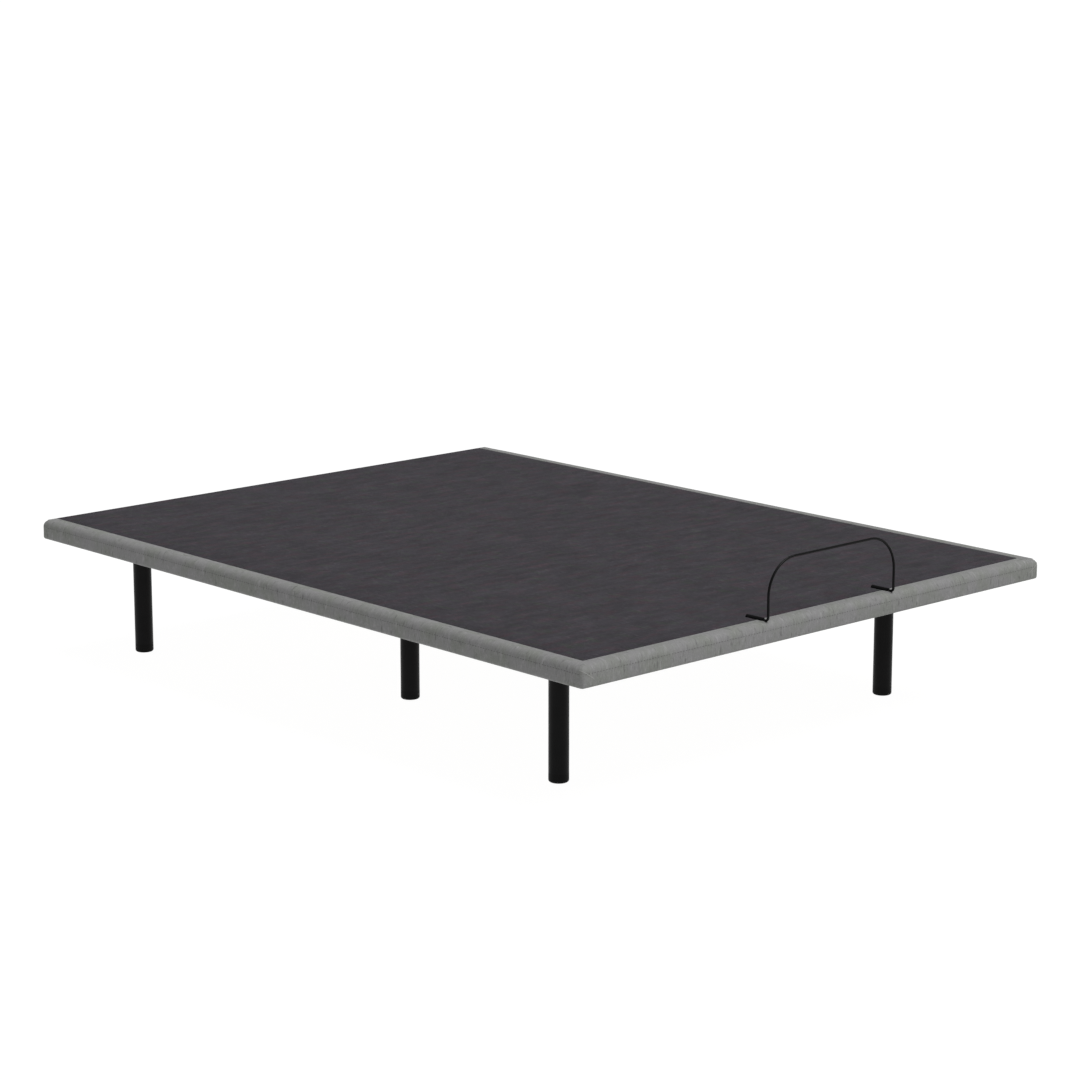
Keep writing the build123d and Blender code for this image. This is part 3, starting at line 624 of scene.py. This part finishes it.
sewing = {
    "pitch": 8.5 * mm,
    "length": 5 * mm,
    "width": 1.1 * mm,
    "drop": 1.5 * mm,
    "cornerRoom": 4 * mm,
    "cornerSeam": 25 * mm,
    "cornerRise": 16 * mm,
    "bandSeam": 229 * mm,
    "welt": 1.1 * mm,
    "weltRise": 0.4 * mm,
    "weltTop": 8 * mm,
    "weltFoot": 5 * mm,
    "faceDepth": 1 * mm,
    "turnDepth": 9 * mm,
}


def repeat(obj, count, step):
    applyModifier(obj, "ARRAY", count=count, use_relative_offset=False, use_constant_offset=True,
                  constant_offset_displace=tuple(step))


# A row of sunk stitches along a straight run of the edge band.
def sewRow(start, end):
    run = Vector(end) - Vector(start)
    count = int(run.length / sewing["pitch"])
    alongY = abs(run.y) > abs(run.x)
    size = (sewing["width"], sewing["length"], sewing["width"])
    scale = size if alongY else (size[1], size[0], size[2])
    deselectAll()
    bpy.ops.mesh.primitive_uv_sphere_add(
        segments=6, ring_count=4, radius=0.5, location=start, scale=scale)
    row = takeNew("stitches")
    placeInMesh()
    repeat(row, count, run / count)
    setMaterials(row, lambda center: darkSlot)
    return row


# A narrow raised welt that follows the edge band where a plane cuts it.
def sewWelt(deck, place, normal, keep):
    makeActive(deck)
    bpy.ops.object.duplicate()
    welt = takeNew("welt")
    normal = Vector(normal).normalized()
    half = normal * sewing["welt"] / 2
    bisectAt(Vector(place) - half, normal, clear_inner=True)
    bisectAt(Vector(place) + half, normal, clear_outer=True)
    pickInEdit(welt, "FACE",
               lambda center, facing: not keep(center) or abs(facing.dot(normal)) > 0.8)
    bpy.ops.mesh.delete(type="FACE")
    leaveEdit()
    applyModifier(welt, "SOLIDIFY", thickness=2 * sewing["weltRise"], offset=0)
    setMaterials(welt, lambda center: paleSlot)
    return welt


def onFootFace(center, top):
    onFace = center.y < footEnd + sewing["faceDepth"]
    return onFace and hem + sewing["weltFoot"] < center.z < top


def sewAll(deck):
    rowZ = rollStart - sewing["drop"]
    weltZ = rollStart - sewing["weltTop"]
    corner = cover["cornerRadius"] + sewing["cornerRoom"]
    sew = [sewRow((-halfWidth + corner, footEnd, rowZ), (halfWidth - corner, footEnd, rowZ))]
    for side in (-1, 1):
        x = side * halfWidth
        sew.append(sewRow((x, footEnd + corner, rowZ), (x, headEnd - corner, rowZ)))
        turn = side * (halfWidth - sewing["cornerSeam"])
        sew.append(sewWelt(deck, (turn, 0, 0), (1, 0, 0), lambda center: onFootFace(center, weltZ)))
        slope = (sewing["cornerRise"], 0, -side * sewing["cornerSeam"])
        turnEnd = footEnd + sewing["turnDepth"]
        sew.append(sewWelt(deck, (turn, 0, weltZ), slope,
                           lambda center: center.y < turnEnd and center.x * side > abs(turn)))
    sew.append(sewWelt(deck, (sewing["bandSeam"], 0, 0), (1, 0, 0),
                       lambda center: onFootFace(center, rollStart)))
    return sew


staples = {
    "pitch": 62 * mm,
    "width": 11 * mm,
    "wire": 0.9 * mm,
    "edge": 0.3 * mm,
    "inset": 32 * mm,
    "sunk": 0.1 * mm,
}


# Staples that hold the cloth's flap to the underside of the boards.
def stapleRow(start, end):
    run = Vector(end) - Vector(start)
    count = int(run.length / staples["pitch"])
    alongY = abs(run.y) > abs(run.x)
    wire, width = staples["wire"], staples["width"]
    deselectAll()
    scale = (wire, width, wire) if alongY else (width, wire, wire)
    bpy.ops.mesh.primitive_cube_add(size=1, location=start, scale=scale)
    row = takeNew("staples")
    placeInMesh()
    bpy.ops.object.mode_set(mode="EDIT")
    bpy.ops.mesh.select_all(action="SELECT")
    bpy.ops.mesh.bevel(offset=staples["edge"], segments=1, affect="EDGES")
    leaveEdit()
    repeat(row, count, run / count)
    setMaterials(row, lambda center: stapleSlot)
    return row


def stapleAll():
    inset = staples["inset"]
    z = hem - staples["sunk"]
    rows = []
    for y in (footEnd + inset, headEnd - inset):
        rows.append(stapleRow((-halfWidth + 2 * inset, y, z), (halfWidth - inset, y, z)))
    for side in (-1, 1):
        x = side * (halfWidth - inset)
        rows.append(stapleRow((x, footEnd + 2 * inset, z), (x, headEnd - inset, z)))
    return rows


hipCut = (thighLine + backLine) / 2
legCut = (kneeLine + thighLine) / 2
coverLengths = {
    "backCover": {"bodies": ("back", "base"), "fold": "back", "from": hipCut, "for": ["back_pad"]},
    "seatCover": {"bodies": ("base", "thigh"), "fold": "thigh", "from": legCut, "to": hipCut,
                  "for": ["seat_pad", "thigh_pad"]},
    "footCover": {"bodies": ("thigh", "calf"), "fold": "knee", "to": legCut, "for": ["calf_pad"]},
}


def cutCover(deck, name):
    plan = coverLengths[name]
    makeActive(deck)
    bpy.ops.object.duplicate()
    piece = takeNew(name)
    if "from" in plan:
        bisectAt((0, plan["from"], 0), (0, 1, 0), clear_inner=True, use_fill=True)
    if "to" in plan:
        bisectAt((0, plan["to"], 0), (0, 1, 0), clear_outer=True, use_fill=True)
    leaveEdit()
    bpy.ops.object.shade_smooth_by_angle(angle=radians(cover["smoothAngle"]))
    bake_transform(piece)
    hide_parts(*plan["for"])


def makeCovers():
    deck = makeDeck()
    mapCloth(deck)
    setMaterials(deck, clothSlot)
    extras = sewAll(deck) + stapleAll()
    makeActive(deck, *extras)
    bpy.ops.object.join()
    loosenCloth(deck)
    for name in coverLengths:
        cutCover(deck, name)
    bpy.data.objects.remove(deck)


makeCovers()
print("deck cover made")

studio = {
    "floorSize": 300,
    "floorColor": (0.06, 0.06, 0.06),
    "floorGlow": 0.98,
    "skyStrength": 0.25,
    "keyStrength": 3.2,
    "keyTurn": (20, 9, 0),
    "keyAngle": 40,
    "keyPlace": (0, -3, 4),
}


def makeStudio():
    deselectAll()
    bpy.ops.mesh.primitive_plane_add(size=studio["floorSize"], location=(0, 0, 0))
    floor = takeNew("floor")
    material, tree, shader = newMaterial("paleFloor", 0.9, studio["floorColor"])
    shader.inputs["Specular IOR Level"].default_value = 0.0
    shader.inputs["Emission Color"].default_value = (1, 1, 1, 1)
    shader.inputs["Emission Strength"].default_value = studio["floorGlow"]
    floor.data.materials.append(material)
    world = bpy.data.worlds.new("studioSky")
    bpy.context.scene.world = world
    world.use_nodes = True
    sky = world.node_tree.nodes["Background"]
    sky.inputs["Color"].default_value = (1, 1, 1, 1)
    # The backdrop itself is white, and lights the bed with less.
    seen = addNode(world.node_tree, "LightPath").outputs["Is Camera Ray"]
    strength = spread(world.node_tree, seen, 0, 1, studio["skyStrength"], 1)
    world.node_tree.links.new(strength, sky.inputs["Strength"])
    turn = [radians(angle) for angle in studio["keyTurn"]]
    bpy.ops.object.light_add(type="SUN", location=studio["keyPlace"], rotation=turn)
    key = bpy.context.object
    key.name = "keyLight"
    key.data.energy = studio["keyStrength"]
    key.data.angle = radians(studio["keyAngle"])
    bpy.context.scene.view_settings.view_transform = "Standard"


makeStudio()
print("studio made")
